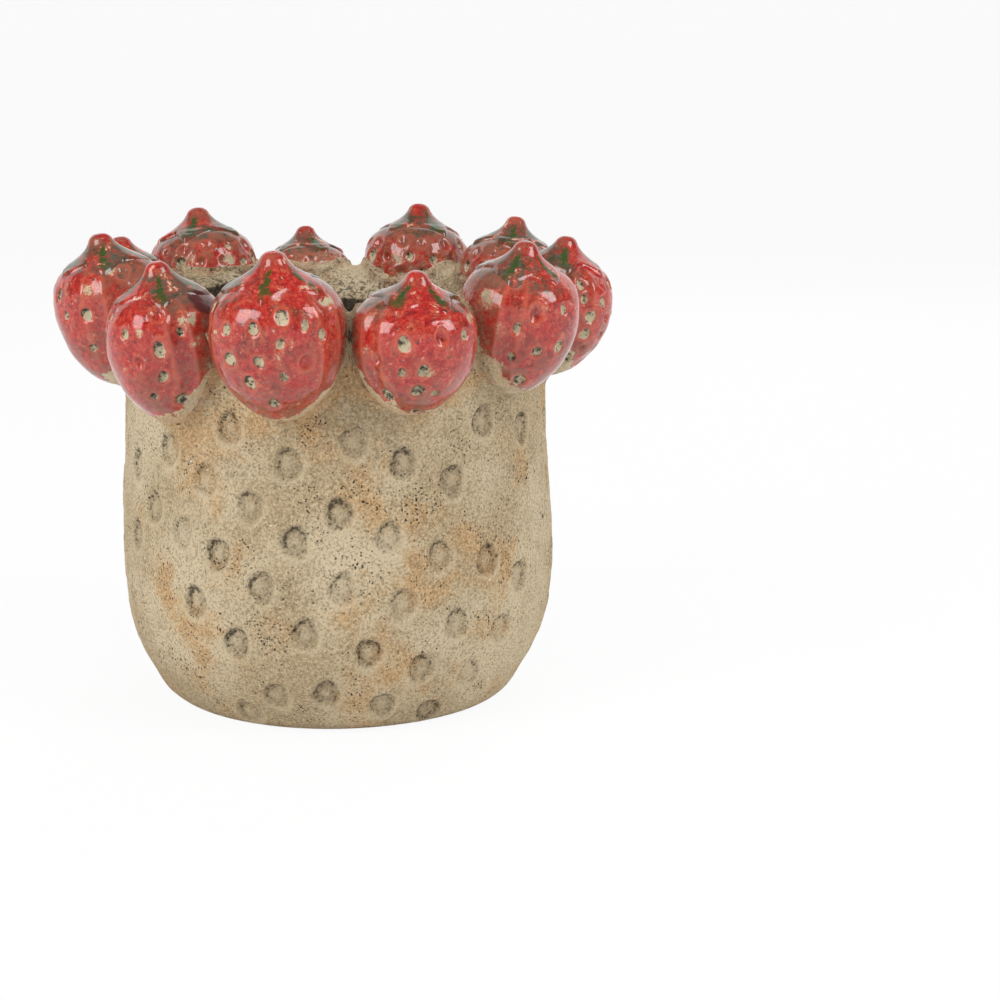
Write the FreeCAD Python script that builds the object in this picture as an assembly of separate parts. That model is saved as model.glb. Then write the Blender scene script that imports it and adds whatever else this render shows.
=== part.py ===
import FreeCAD, Part
import math
import os

# Flower pot of unglazed clay: a dimpled vessel, a rim ring with the mouth in it, and a
# row of modelled strawberries seated astride the rim, each with its own leaf crown.
# Millimetres, +Z up, origin at the centre of the flat foot, front of the pot towards -Y.

# Vessel
foot_radius = 73.0
belly_radius = 98.3
belly_height = 54.0
waist_radius = 95.4
waist_height = 125.0
neck_radius = 96.0
vessel_height = 168.0
wall = 9.0
floor_thickness = 11.0
heel_shares = [(0.245, 0.061), (0.79, 0.52), (1.0, 1.0)]
flank_shares = [(0.24, 0.45), (1.0, 1.0)]

# Rim ring, luted to the top of the wall
crest_rise = 20.5
crest_inset = 7.4
rim_swell = 0.8
mouth_radius = 66.0
lip_rise = 5.0
lip_drop = 6.0
lip_round = 2.5
swell_height_share = 0.58
lip_fall_share = 1.9
slope_shares = (0.46, 0.30)

# Ringed dimples in slanting rows on the outside of the wall
dimple_width = 13.5
dimple_depth = 1.4
dimple_columns = 27
dimple_pitch = 31.0
dimple_first = 14.0
dimple_last = 126.0
column_shift_share = 1 / 3
seed_width = 6.0
seed_drop = 0.4

# Strawberries, seated astride the rim
fruit_count = 11
fruit_radius = 25.5
fruit_length = 66.0
fruit_rise = 41.0
fruit_overhang = 9.0
fruit_lean = 8.0
fruit_start_turn = -10.9

# Half outline of a strawberry: shares of its radius and of its length, from tip to shoulder
flesh_shares = [(0.45, 0.06), (0.86, 0.27), (1.0, 0.51), (0.95, 0.69), (0.66, 0.80)]

# Each strawberry by hand: turn as a share of the pitch, lift as a share of the length,
# then its girth and its length as shares of the usual ones
fruit_shares = [
    (-0.08, 0.04, 1.11, 1.08),
    (-0.10, -0.09, 1.03, 0.92),
    (-0.12, 0.04, 1.03, 1.01),
    (-0.02, -0.02, 0.98, 0.96),
    (0.12, 0.03, 1.00, 1.00),
    (0.11, 0.08, 1.04, 1.02),
    (0.07, -0.09, 0.92, 0.92),
    (0.02, 0.08, 1.04, 1.02),
    (0.00, -0.06, 0.96, 0.95),
    (0.04, 0.05, 1.00, 1.02),
    (-0.03, -0.06, 1.02, 1.05),
]

# Seed pits on the outward face of each strawberry
pit_width = 4.4
pit_depth = 0.8
pit_spacing = 11.5
pit_fan = 200.0
pit_row_shares = [0.13, 0.24, 0.36, 0.48, 0.60, 0.71]

# Leaf crown: pointed sepals draped over the shoulders, and the stem stub
sepal_count = 5
sepal_thickness = 1.4
sepal_reach_share = 0.84
sepal_notch_share = 0.38
sepal_waist_share = 0.66
sepal_half_turn_share = 0.31
sepal_turn_share = 0.25
stem_radius = 5.0
stem_taper = 20.0
stem_flare_share = 2.8
stem_side_share = 1.82

fruit_pitch = 360 / fruit_count
crest_radius = neck_radius - crest_inset
crest_height = vessel_height + crest_rise
lip_top = vessel_height + lip_rise
lip_bottom = vessel_height - lip_drop
throat_top = lip_top - lip_round * lip_fall_share
inner_neck_radius = neck_radius - wall
axis_z = FreeCAD.Vector(0, 0, 1)
axis_y = FreeCAD.Vector(0, 1, 0)
origin = FreeCAD.Vector(0, 0, 0)


def point(radius, height):
    return FreeCAD.Vector(radius, 0, height)


def line(start, end):
    return Part.LineSegment(start, end).toShape()


def arc_chain(start, heading, points):
    # Arcs through the points, each one starting along the heading that the last ended with
    arcs = []
    for end in points:
        chord = end - start
        course = math.atan2(chord.z, chord.x)
        turn = course - heading
        sag = chord.Length / 2 * math.tan(turn / 2)
        middle = (start + end) / 2 + point(math.sin(course), -math.cos(course)) * sag
        arcs.append(Part.Arc(start, middle, end).toShape())
        heading = course + turn
        start = end
    return arcs, heading


def spin(edges):
    # A turned solid whose seam runs up its -X side, away from the details on the +X side
    face = Part.Face(Part.Wire(edges))
    face.rotate(origin, axis_z, 180)
    return face.revolve(origin, axis_z, 360)


def cap_radius(width, depth):
    # Radius of the ball that leaves a cap of this width and depth in a flat face
    return ((width / 2) ** 2 + depth ** 2) / (2 * depth)


def at_height(arcs, height):
    # Radius of a profile at a height, and how far its outward normal tips up, in degrees
    arc = next(arc for arc in arcs if arc.BoundBox.ZMax >= height)
    centre = arc.Curve.Center
    bulge = 1 if centre.x < arc.BoundBox.XMax else -1
    up = height - centre.z
    across = math.sqrt(arc.Curve.Radius ** 2 - up ** 2)
    return centre.x + bulge * across, math.degrees(math.atan2(bulge * up, across))


def wall_curve(inset, floor):
    # The wall's profile moved in by inset, from the edge of the floor up to the neck
    belly = belly_radius - inset
    heel = [
        point(foot_radius + (belly - foot_radius) * out, floor + (belly_height - floor) * up)
        for out, up in heel_shares
    ]
    flank = [
        point(belly + (waist_radius - belly_radius) * out, belly_height + (waist_height - belly_height) * up)
        for out, up in flank_shares
    ]
    neck = point(neck_radius - inset, vessel_height)
    return arc_chain(point(foot_radius, floor), 0, heel + flank + [neck])


def rim_curve(heading):
    # Over the crest of the rim, from the outer edge of the wall down into the mouth
    slope_out, slope_down = slope_shares
    slope_span = crest_radius - mouth_radius - lip_round
    crown = [
        point(neck_radius + rim_swell, vessel_height + crest_rise * swell_height_share),
        point(crest_radius, crest_height),
        point(crest_radius - slope_span * slope_out, crest_height - (crest_height - lip_top) * slope_down),
        point(mouth_radius + lip_round, lip_top),
        point(mouth_radius, throat_top),
    ]
    return arc_chain(point(neck_radius, vessel_height), heading, crown)[0]


def pot_body(outside):
    inside = wall_curve(wall, floor_thickness)[0]
    return spin([line(origin, point(foot_radius, 0))] + outside + [
        line(point(neck_radius, vessel_height), point(inner_neck_radius, vessel_height)),
    ] + inside[::-1] + [
        line(point(foot_radius, floor_thickness), point(0, floor_thickness)),
        line(point(0, floor_thickness), origin),
    ])


def dimple_cutter():
    # Bowl with a seed left standing in the middle, its outside towards +X at the wall face
    bowl_radius = cap_radius(dimple_width, dimple_depth)
    bowl = Part.makeSphere(bowl_radius, point(bowl_radius - dimple_depth, 0))
    seed_radius = cap_radius(seed_width, dimple_depth - seed_drop)
    seed = Part.makeSphere(seed_radius, point(-seed_drop - seed_radius, 0))
    return bowl.cut(seed)


def dimples(outside):
    cutter = dimple_cutter()
    rows = math.ceil((dimple_last - dimple_first) / dimple_pitch) + 1
    cutters = []
    for column in range(dimple_columns):
        turn = FreeCAD.Placement(origin, FreeCAD.Rotation(axis_z, 360 * column / dimple_columns))
        shift = dimple_pitch * ((column * column_shift_share) % 1)
        for row in range(rows):
            height = dimple_first + dimple_pitch * row + shift
            if height > dimple_last:
                continue
            radius, tip = at_height(outside, height)
            seat = FreeCAD.Placement(point(radius, height), FreeCAD.Rotation(axis_y, -tip))
            copy = cutter.copy()
            copy.Placement = turn.multiply(seat)
            cutters.append(copy)
    return cutters


def rim_ring(crown):
    return spin(crown + [
        line(point(mouth_radius, throat_top), point(mouth_radius, lip_bottom)),
        line(point(mouth_radius, lip_bottom), point(inner_neck_radius, vessel_height)),
        line(point(inner_neck_radius, vessel_height), point(neck_radius, vessel_height)),
    ])


def seat_core(outside, crown):
    # Everything under the outside of wall and rim, filled in: what a strawberry sits against
    return spin([line(origin, point(foot_radius, 0))] + outside + crown + [
        line(point(mouth_radius, throat_top), point(0, throat_top)),
        line(point(0, throat_top), origin),
    ])


def dome(start, heading):
    # The arc that closes a turned form over its axis, level at the top
    rise = start.x * math.tan((math.pi - heading) / 2)
    return arc_chain(start, heading, [point(0, start.z + rise)])[0]


def flesh_curve(girth, length):
    points = [point(girth * across, length * up) for across, up in flesh_shares]
    side, heading = arc_chain(origin, 0, points)
    return side + dome(points[-1], heading)


def flesh(curve):
    top = curve[-1].BoundBox.ZMax
    return spin(curve + [line(point(0, top), origin)])


def pits(curve, length):
    ball_radius = cap_radius(pit_width, pit_depth)
    ball = Part.makeSphere(ball_radius, point(ball_radius - pit_depth, 0))
    balls = []
    for row, share in enumerate(pit_row_shares):
        radius, tip = at_height(curve, length * share)
        fan = math.radians(pit_fan) * radius
        count = max(1, round(fan / pit_spacing))
        step = pit_fan / count
        for place in range(count):
            turn = (place + 0.5 * (row % 2) - (count - 1) / 2) * step
            about = FreeCAD.Placement(origin, FreeCAD.Rotation(axis_z, turn))
            seat = FreeCAD.Placement(point(radius, length * share), FreeCAD.Rotation(axis_y, -tip))
            copy = ball.copy()
            copy.Placement = about.multiply(seat)
            balls.append(copy)
    return balls


def star_face(girth):
    # Outline of the sepals in plan: notch, swelling side, point, side, and so on round
    def at(share, turn):
        return FreeCAD.Vector(girth * share * math.cos(turn), girth * share * math.sin(turn), 0)

    step = 2 * math.pi / sepal_count
    edges = []
    for sepal in range(sepal_count):
        middle = (sepal + sepal_turn_share) * step
        side = step * sepal_half_turn_share
        tip = at(sepal_reach_share, middle)
        before = at(sepal_notch_share, middle - step / 2)
        after = at(sepal_notch_share, middle + step / 2)
        edges.append(Part.Arc(before, at(sepal_waist_share, middle - side), tip).toShape())
        edges.append(Part.Arc(tip, at(sepal_waist_share, middle + side), after).toShape())
    return Part.Face(Part.Wire(edges))


def stem(length):
    # A tapering stub with a round top, flaring out at its foot where it grows out of the flesh
    upright = math.radians(90 + stem_taper)
    neck = point(stem_radius, length - stem_radius * math.tan((math.pi - upright) / 2))
    flare = point(stem_radius * stem_flare_share, neck.z - stem_radius * stem_side_share)
    slant = math.atan2(neck.z - flare.z, neck.x - flare.x)
    side, heading = arc_chain(flare, 2 * slant - upright, [neck])
    base = flare.z - stem_radius
    return spin(side + dome(neck, heading) + [
        line(point(0, length), point(0, base)),
        line(point(0, base), point(flare.x, base)),
        line(point(flare.x, base), flare),
    ])


def leaf_crown(body, girth, length):
    raised = body.copy()
    raised.translate(point(0, sepal_thickness))
    prism = star_face(girth).extrude(axis_z * length)
    leaves = raised.common(prism)
    crown = leaves.fuse(stem(length)).cut(body)
    return max(crown.Solids, key=lambda solid: solid.Volume)


def fruit_place(index, length):
    turn_share, lift_share = fruit_shares[index % len(fruit_shares)][:2]
    turn = fruit_start_turn + fruit_pitch * (index + turn_share)
    top = point(neck_radius + fruit_overhang, vessel_height + fruit_rise + fruit_length * lift_share)
    about = FreeCAD.Placement(origin, FreeCAD.Rotation(axis_z, turn - 90))
    leaning = FreeCAD.Placement(top, FreeCAD.Rotation(axis_y, fruit_lean))
    return about.multiply(leaning).multiply(FreeCAD.Placement(point(0, -length), FreeCAD.Rotation()))


def strawberry(index, core, neighbours):
    girth_share, length_share = fruit_shares[index % len(fruit_shares)][2:]
    girth = fruit_radius * girth_share
    length = fruit_length * length_share
    place = fruit_place(index, length)
    curve = flesh_curve(girth, length)
    body = flesh(curve)
    crown = leaf_crown(body, girth, length)
    crown.Placement = place.multiply(crown.Placement)
    fruit = body.cut(pits(curve, length))
    fruit.Placement = place.multiply(fruit.Placement)
    fruit = fruit.cut([core] + neighbours)
    return max(fruit.Solids, key=lambda solid: solid.Volume), crown


def save(shape, name):
    shape.exportStep("parts/" + name + ".step")
    print(name, "solids", len(shape.Solids), "valid", shape.isValid(), "volume", round(shape.Volume))


os.makedirs("parts", exist_ok=True)

outside_curve, neck_heading = wall_curve(0, 0)
crown_curve = rim_curve(neck_heading)
core_solid = seat_core(outside_curve, crown_curve)

dimpled = pot_body(outside_curve).cut(dimples(outside_curve))
save(dimpled.Solids[0], "pot_body")
save(rim_ring(crown_curve), "rim_ring")

fruits = []
for number in range(fruit_count):
    beside = fruits[-1:]
    if number == fruit_count - 1:
        beside = [fruits[-1], fruits[0]]
    berry, leaves = strawberry(number, core_solid, beside)
    fruits.append(berry)
    save(berry, "strawberry_%02d" % (number + 1))
    save(leaves, "leaf_crown_%02d" % (number + 1))
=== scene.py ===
import bpy
import numpy as np
from mathutils import Matrix, Vector


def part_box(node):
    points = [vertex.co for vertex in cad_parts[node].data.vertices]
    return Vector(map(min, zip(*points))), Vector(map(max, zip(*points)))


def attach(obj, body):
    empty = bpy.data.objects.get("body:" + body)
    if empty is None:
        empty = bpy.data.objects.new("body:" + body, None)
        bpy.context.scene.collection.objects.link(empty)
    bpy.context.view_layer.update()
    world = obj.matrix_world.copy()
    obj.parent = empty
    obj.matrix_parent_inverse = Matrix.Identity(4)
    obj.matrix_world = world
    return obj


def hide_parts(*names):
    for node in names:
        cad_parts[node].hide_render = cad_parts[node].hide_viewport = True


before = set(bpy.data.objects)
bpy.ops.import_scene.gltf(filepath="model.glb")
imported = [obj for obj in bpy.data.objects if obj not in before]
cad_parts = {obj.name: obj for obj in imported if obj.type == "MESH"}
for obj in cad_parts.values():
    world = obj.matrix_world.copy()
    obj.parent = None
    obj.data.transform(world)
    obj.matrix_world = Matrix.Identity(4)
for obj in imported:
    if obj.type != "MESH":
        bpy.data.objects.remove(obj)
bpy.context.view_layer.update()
mm = 0.001

# the photograph's viewpoint: place in metres, turn and tilt in degrees, lens for a square image,
# and what one pixel measures at the pot
view = {
    "place": (0.0, -0.990, 0.303),
    "turn": -4.32,
    "down": 12.38,
    "lens": 78.86,
    "sensor": 36.0,
    "pixels": 1000,
    "pixelSize": 0.43 * mm,
}

cameraData = bpy.data.cameras.new("photoCamera")
cameraData.lens = view["lens"]
cameraData.sensor_width = view["sensor"]
camera = bpy.data.objects.new("photoCamera", cameraData)
camera.location = view["place"]
camera.rotation_euler = (np.pi / 2 - np.radians(view["down"]), 0, np.radians(view["turn"]))
bpy.context.scene.collection.objects.link(camera)
bpy.context.scene.camera = camera
bpy.context.scene.view_settings.view_transform = "Standard"
print("camera placed")


def pixelRays(pixels):
    # a pixel's ray: right and up by its offset from the middle over the focal length in pixels
    focal = view["lens"] / view["sensor"] * view["pixels"]
    offset = (np.array(pixels, float) - view["pixels"] / 2) / focal
    local = np.column_stack([offset[:, 0], -offset[:, 1], -np.ones(len(offset))])
    turned = local @ np.array(camera.rotation_euler.to_matrix()).T
    return turned / np.linalg.norm(turned, axis=1, keepdims=True)


def hitTurned(origin, directions, line):
    # first place where each ray comes inside a turned outline: its angle and its height
    reach = np.linspace(0.75, 1.15, 4000)  # metres from the camera, before and behind the pot
    points = np.array(origin) + directions[:, None, :] * reach[None, :, None]
    edge = np.interp(points[..., 2], line[:, 1], line[:, 0], 0, 0)
    first = np.argmax(np.hypot(points[..., 0], points[..., 1]) < edge, axis=1)
    hit = points[np.arange(len(first)), first]
    return np.arctan2(hit[:, 1], hit[:, 0]), hit[:, 2]


def softNoise(points, size, seed=0):
    # value noise from -1 to 1: hashed corners of a lattice, blended with a smooth step
    cell = np.asarray(points) / size
    base = np.floor(cell).astype(np.int64)
    blend = cell - base
    blend = blend * blend * (3 - 2 * blend)
    primes = np.array([73856093, 19349663, 83492791])
    total = np.zeros(cell.shape[:-1])
    for corner in range(8):
        step = np.array([corner & 1, corner >> 1 & 1, corner >> 2 & 1])
        mixed = (base + step) @ primes + seed * 912931 + 7919
        mixed = (mixed ^ (mixed >> 13)) * 1274126177 & 0x7FFFFFFF
        mixed = (mixed ^ (mixed >> 15)) * 461845907 & 0x7FFFFFFF
        value = (mixed >> 7 & 0xFFFF) / 32767.5 - 1
        total += value * np.prod(np.where(step == 1, blend, 1 - blend), axis=-1)
    return total


def lumpy(points, lumps, seed):
    # hand-formed unevenness: a few sizes of noise, each with its own height
    return sum(high * softNoise(points, wide, seed + number) for number, (high, wide) in enumerate(lumps))


def smoothStep(low, high, value):
    share = np.clip((value - low) / (high - low), 0, 1)
    return share * share * (3 - 2 * share)


def bell(value, middle, width):
    # one at the middle, falling away smoothly on both sides
    return np.exp(-((value - middle) / width) ** 2)


def wrapped(angle):
    # the same angle, at most half a turn from zero
    return (angle + np.pi) % (2 * np.pi) - np.pi


def ringAngles(columns, start=0):
    return np.linspace(start, start + 2 * np.pi, columns, endpoint=False)[None, :]


def runLength(line):
    # way along a line to each of its points
    return np.append(0, np.cumsum(np.linalg.norm(np.diff(line, axis=0), axis=1)))


def smoothLine(points, count):
    # cubic curve through the points, its slopes taken from their neighbours, evenly spaced
    knots = np.array(points, float)
    length = runLength(knots)
    slope = np.gradient(knots, length, axis=0)
    place = np.linspace(0, length[-1], 40 * len(knots))
    part = np.clip(np.searchsorted(length, place, "right") - 1, 0, len(knots) - 2)
    span = (length[part + 1] - length[part])[:, None]
    t = (place - length[part])[:, None] / span
    start = (1 + 2 * t) * (1 - t) ** 2 * knots[part] + t * (1 - t) ** 2 * span * slope[part]
    end = t * t * (3 - 2 * t) * knots[part + 1] + t * t * (t - 1) * span * slope[part + 1]
    curve = start + end
    run = runLength(curve)
    even = np.linspace(0, run[-1], count)
    return np.column_stack([np.interp(even, run, curve[:, axis]) for axis in range(2)])


def lineNormals(line):
    # the profile's direction turned right, so that a profile drawn upwards faces outwards
    step = np.gradient(line, axis=0)
    normal = np.column_stack([step[:, 1], -step[:, 0]])
    return normal / np.maximum(np.linalg.norm(normal, axis=1, keepdims=True), 1e-12)


def turnedOut(profile, angle):
    # a profile's points or normals turned about the axis, one ring for each of them
    return np.stack([
        profile[:, :1] * np.cos(angle),
        profile[:, :1] * np.sin(angle),
        profile[:, 1:] + 0 * angle,
    ], axis=-1)


def skin(name, rings, fields, ends=None):
    # a grid of rings closed round its columns, ending in two poles or, with none, round its rows too
    rows, columns = rings.shape[:2]
    index = np.arange(rows * columns).reshape(rows, columns)
    vertices = rings.reshape(-1, 3)
    if ends is None:
        index = np.concatenate([index, index[:1]])
        along = np.linspace(0, 1, rows + 1)
    else:
        vertices = np.vstack([vertices, ends])
        along = np.linspace(0, 1, rows + 2)[1:-1]
    beside = np.roll(index, -1, axis=1)
    u = np.broadcast_to(np.arange(columns) / columns, index.shape)
    v = np.broadcast_to(along[:, None], index.shape)
    nextU = u + 1 / columns
    quads = np.stack([index[:-1], beside[:-1], beside[1:], index[1:]], axis=-1).reshape(-1, 4)
    quadU = np.stack([u[:-1], nextU[:-1], nextU[1:], u[1:]], axis=-1).reshape(-1)
    quadV = np.stack([v[:-1], v[:-1], v[1:], v[1:]], axis=-1).reshape(-1)
    corners, cornerU, cornerV = [quads.reshape(-1)], [quadU], [quadV]
    sizes = [np.full(len(quads), 4)]
    if ends is not None:
        pole = np.full(columns, rows * columns)
        middle = u[0] + 0.5 / columns
        low = [pole, beside[0], index[0]], [middle, nextU[0], u[0]], [0, v[0, 0], v[0, 0]]
        high = [index[-1], beside[-1], pole + 1], [u[0], nextU[0], middle], [v[-1, 0], v[-1, 0], 1]
        for triangle, acrossU, alongV in (low, high):
            corners.append(np.stack(triangle, axis=-1).reshape(-1))
            cornerU.append(np.stack(acrossU, axis=-1).reshape(-1))
            cornerV.append(np.tile(alongV, columns))
            sizes.append(np.full(columns, 3))
    corners = np.concatenate(corners)
    sizes = np.concatenate(sizes)
    mesh = bpy.data.meshes.new(name)
    mesh.vertices.add(len(vertices))
    mesh.vertices.foreach_set("co", vertices.astype(np.float32).reshape(-1))
    mesh.loops.add(len(corners))
    mesh.loops.foreach_set("vertex_index", corners.astype(np.int32))
    mesh.polygons.add(len(sizes))
    mesh.polygons.foreach_set("loop_start", np.append(0, np.cumsum(sizes)[:-1]).astype(np.int32))
    mesh.update(calc_edges=True)
    layer = mesh.uv_layers.new(name="OFBake")
    uv = np.column_stack([np.concatenate(cornerU), np.concatenate(cornerV)])
    layer.data.foreach_set("uv", uv.astype(np.float32).reshape(-1))
    for field, values in fields.items():
        flat = np.asarray(values, np.float32).reshape(-1)
        flat = np.append(flat, np.zeros(len(vertices) - len(flat), np.float32))
        mesh.attributes.new(field, "FLOAT", "POINT").data.foreach_set("value", flat)
    mesh.shade_smooth()
    mesh.validate()
    piece = bpy.data.objects.new(name, mesh)
    bpy.context.scene.collection.objects.link(piece)
    return piece


def dress(piece, node, material):
    piece.data.materials.append(material)
    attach(piece, "root")
    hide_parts(node)


# vessel: sizes in metres, outline as shares of belly radius and of height, from foot to neck;
# the unevenness as heights and widths of its lumps
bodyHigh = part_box("pot_body")[1]
pot = {
    "bellyRadius": bodyHigh.x,
    "height": bodyHigh.z,
    "wall": 9 * mm,
    "floor": 11 * mm,
    "outline": [
        (0.743, 0.0), (0.778, 0.006), (0.812, 0.020), (0.845, 0.045), (0.876, 0.078), (0.926, 0.131),
        (0.972, 0.214), (0.996, 0.32), (1.0, 0.43), (0.993, 0.55), (0.979, 0.66), (0.970, 0.77),
        (0.971, 0.88), (0.977, 1.0),
    ],
    "columns": 480,
    "outerRows": 150,
    "innerSkip": 5,
    "footRows": 8,
    "floorRows": 14,
    "poleRadius": 4 * mm,
    "heelInset": 0.4 * mm,
    "footFade": 4 * mm,
    "floorBend": [(5 * mm, 3 * mm), (16 * mm, 0)],
    "neckDrop": 4 * mm,
    "bendRise": 12 * mm,
    "seamTuck": 0.4 * mm,
    "neckRise": (2.5 * mm, 3 * mm, -2 * mm),
    "lumps": [(0.7 * mm, 55 * mm), (0.28 * mm, 21 * mm), (0.084 * mm, 7 * mm)],
    "swellFrom": 110 * mm,
    "filletRadius": 6 * mm,
    # the inside painted dark from just under the neck: painted shade, as depths under the top from none to
    # full
    "dark": (1 * mm, 6 * mm),
}
wallLine = smoothLine(np.array(pot["outline"]) * (pot["bellyRadius"], pot["height"]), pot["outerRows"])

# ringed dimples: pixels of those seen in the photograph; the rest follow slanting rows. In shares of a
# dimple's half width, lip, the ring of grime and painted shade and the painted highlight on the lower lip
# are a middle and a width, other pairs go from none to full; dull spreads painted shade over the hollow
dimple = {
    "width": 12.5 * mm,
    "height": 15.5 * mm,
    "depth": 2.1 * mm,
    "columns": 27,
    "rows": 6,
    "pitch": 31 * mm,
    "lowest": 14 * mm,
    "highest": 138 * mm,
    "frontAngle": 72,
    "firstTurn": 0.03,
    "turnScatter": 0.035,
    "riseScatter": 2.5 * mm,
    "groove": (1.0, 0.62),
    "boss": (0.66, 0.2),
    "bossShare": 0.66,
    "lip": (1.12, 0.14),
    "lipShare": 0.2,
    "grimeAndShade": (0.74, 0.2),
    "dull": (1.0, 0.6),
    "hollowShadeShare": 0.35,
    "litLip": (1.1, 0.14),
    "rubbedBoss": (0.5, 0.2),
    "rubbedShare": 0.8,
    "pixels": [
        (229, 428), (482, 421), (354, 442), (521, 427), (169, 449), (288, 464), (403, 464), (205, 479),
        (137, 464), (452, 481), (250, 507), (339, 515), (154, 507), (389, 538), (295, 543), (182, 532),
        (218, 554), (137, 534), (440, 556), (487, 560), (342, 590), (261, 588), (519, 575), (403, 605),
        (196, 602), (457, 624), (305, 635), (237, 643), (500, 628), (369, 654), (421, 669), (468, 673),
        (327, 694), (277, 696), (382, 705), (427, 711), (250, 714),
    ],
}


def dimplePlaces():
    # the dimples seen in the photograph, then slanting rows round the rest of the wall
    seenAngle, seenHeight = hitTurned(view["place"], pixelRays(dimple["pixels"]), wallLine)
    column, row = np.meshgrid(np.arange(dimple["columns"]), np.arange(dimple["rows"]), indexing="ij")
    angle = column * 2 * np.pi / dimple["columns"] + dimple["firstTurn"]
    height = dimple["lowest"] + dimple["pitch"] * (row + column / 3 % 1)
    jitter = np.stack([column, row, column * 0], axis=-1) * 1.7
    angle = angle + dimple["turnScatter"] * softNoise(jitter, 1.0, 5)
    height = height + dimple["riseScatter"] * softNoise(jitter, 1.0, 6)
    fromFront = np.degrees(np.abs(wrapped(angle + np.pi / 2)))
    kept = (height < dimple["highest"]) & (fromFront > dimple["frontAngle"])
    return np.append(seenAngle, angle[kept]), np.append(seenHeight, height[kept])


def dimpleRelief(angle, along, radius):
    # each dimple: a ring groove round a low boss, with a faint lip outside; grime and painted shade darken
    # its groove, more in its upper part, and painted shade its hollow; its boss is rubbed pale and its
    # lower lip is paled as a painted highlight
    relief = np.zeros(np.broadcast_shapes(angle.shape, along.shape))
    grimeAndShade = np.zeros_like(relief)
    rubbedAndLit = np.zeros_like(relief)
    for number, (turn, height) in enumerate(zip(*dimplePlaces())):
        centre = np.interp(height, wallLine[:, 1], along[:, 0])
        strength = 0.85 + 0.2 * np.sin(number * 2.4)
        x = radius * wrapped(angle - turn) / (dimple["width"] / 2)
        y = (along - centre) / (dimple["height"] / 2)
        reach = np.hypot(x, y) * (1 + 0.06 * np.sin(3 * np.arctan2(y, x) + number))
        boss = dimple["bossShare"] * smoothStep(*dimple["boss"], reach)
        groove = smoothStep(*dimple["groove"], reach) - boss
        lip = dimple["lipShare"] * bell(reach, *dimple["lip"])
        relief += strength * dimple["depth"] * (lip - groove)
        upper = smoothStep(-0.7, 0.9, y - 0.5 * x)
        shade = bell(reach, *dimple["grimeAndShade"]) * (0.5 + 0.5 * upper)
        shade = np.maximum(shade, dimple["hollowShadeShare"] * smoothStep(*dimple["dull"], reach))
        grimeAndShade = np.maximum(grimeAndShade, strength * shade)
        rubbedAndLit = np.maximum(rubbedAndLit, bell(reach, *dimple["litLip"]) * (1 - upper))
        rubbedAndLit = np.maximum(rubbedAndLit, dimple["rubbedShare"] * smoothStep(*dimple["rubbedBoss"], reach))
    return relief, grimeAndShade, rubbedAndLit


def makePot(material):
    # the outline turned about the axis, moved along its normal by unevenness, dimples and fillets
    height, wall, floor, tuck = pot["height"], pot["wall"], pot["floor"], pot["seamTuck"]
    heel, neck, pole = wallLine[0, 0], wallLine[-1, 0], pot["poleRadius"]
    foot = smoothLine([(pole, 0), (heel * 0.6, 0), (heel - pot["heelInset"], 0)], pot["footRows"])
    inset = np.array([tuck, 5 * tuck, wall])
    over = np.column_stack([neck - inset, height + np.array(pot["neckRise"])])
    level = wallLine[:, 1]
    upright = wallLine[(level > floor + pot["bendRise"]) & (level < height - pot["neckDrop"])]
    inner = upright[::-pot["innerSkip"]] - (wall, 0)
    bend = [(inner[-1, 0] - inset, floor + rise) for inset, rise in pot["floorBend"]]
    inside = smoothLine([tuple(inner[-1])] + bend + [(pole, floor)], pot["floorRows"])[1:]
    line = np.vstack([foot, wallLine, over, inner, inside])
    angle = ringAngles(pot["columns"])
    along = runLength(line)[:, None]
    row = np.arange(len(line))
    outer = slice(len(foot), len(foot) + len(wallLine))
    points = turnedOut(line, angle)
    rise, grimeAndShade, rubbedAndLit = np.zeros((3, *points.shape[:2]))
    relief, grimeAndShade[outer], rubbedAndLit[outer] = dimpleRelief(angle, along[outer], line[outer, :1])
    rise[outer] = clayUneven(points[outer]) + relief
    rise[outer] *= smoothStep(0, pot["footFade"], line[outer, 1:])
    swollen = (line[:, 1] > pot["swellFrom"]) & (row < outer.stop + 2)
    distance = np.full(points.shape[:2], 1.0)
    distance[swollen] = berryDistance(points[swollen])
    rise[swollen] += fillet(distance[swollen], pot["filletRadius"])
    rise[outer.stop:outer.stop + 2] += rise[outer.stop - 1]
    moved = points + rise[..., None] * turnedOut(lineNormals(line), angle)
    # the inside, from just under the neck to the floor, is painted dark as painted shade
    start, full = pot["dark"]
    dark = smoothStep(height - start, height - full, line[:, 1:]) * (row > outer.stop)[:, None]
    fields = {"grimeAndShade": grimeAndShade, "rubbedAndLit": rubbedAndLit, "inside": dark + 0 * angle, "near": nearBerry(distance)}
    piece = skin("potWall", moved, fields, [(0, 0, 0), (0, 0, floor)])
    dress(piece, "pot_body", material)


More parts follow.
